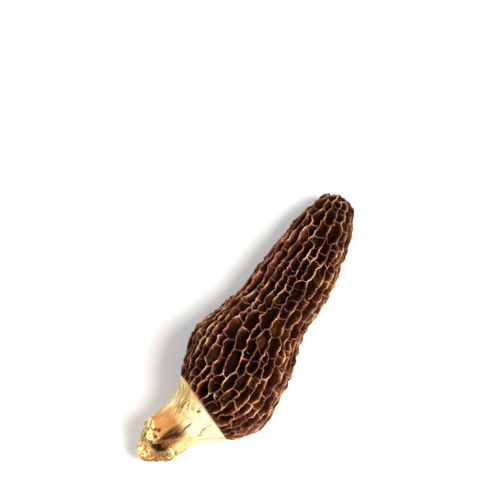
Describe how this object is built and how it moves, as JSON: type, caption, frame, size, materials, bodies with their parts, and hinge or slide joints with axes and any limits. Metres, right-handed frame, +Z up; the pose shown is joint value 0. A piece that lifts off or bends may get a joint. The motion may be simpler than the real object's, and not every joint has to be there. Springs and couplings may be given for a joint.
{
  "type": "dried black morel mushroom",
  "caption": "Dried black morel lying on its side: hollow brown cap with a raised net of ridges round deep pits, on a short cut cream stem. For food scenes and handling.",
  "frame": {"origin": "on the surface that the mushroom lies on, under the middle of its bounding box", "axes": "+X from the cut stem towards the cap's tip, +Z up from the surface that it lies on"},
  "size_m": [0.0676, 0.0218, 0.0223],
  "materials": {
    "cap_brown": "matte, dried",
    "stem_cream": "matte, dried"
  },
  "bodies": {
    "root": {"cap": "cap_brown", "stem": "stem_cream"}
  },
  "joints": []
}
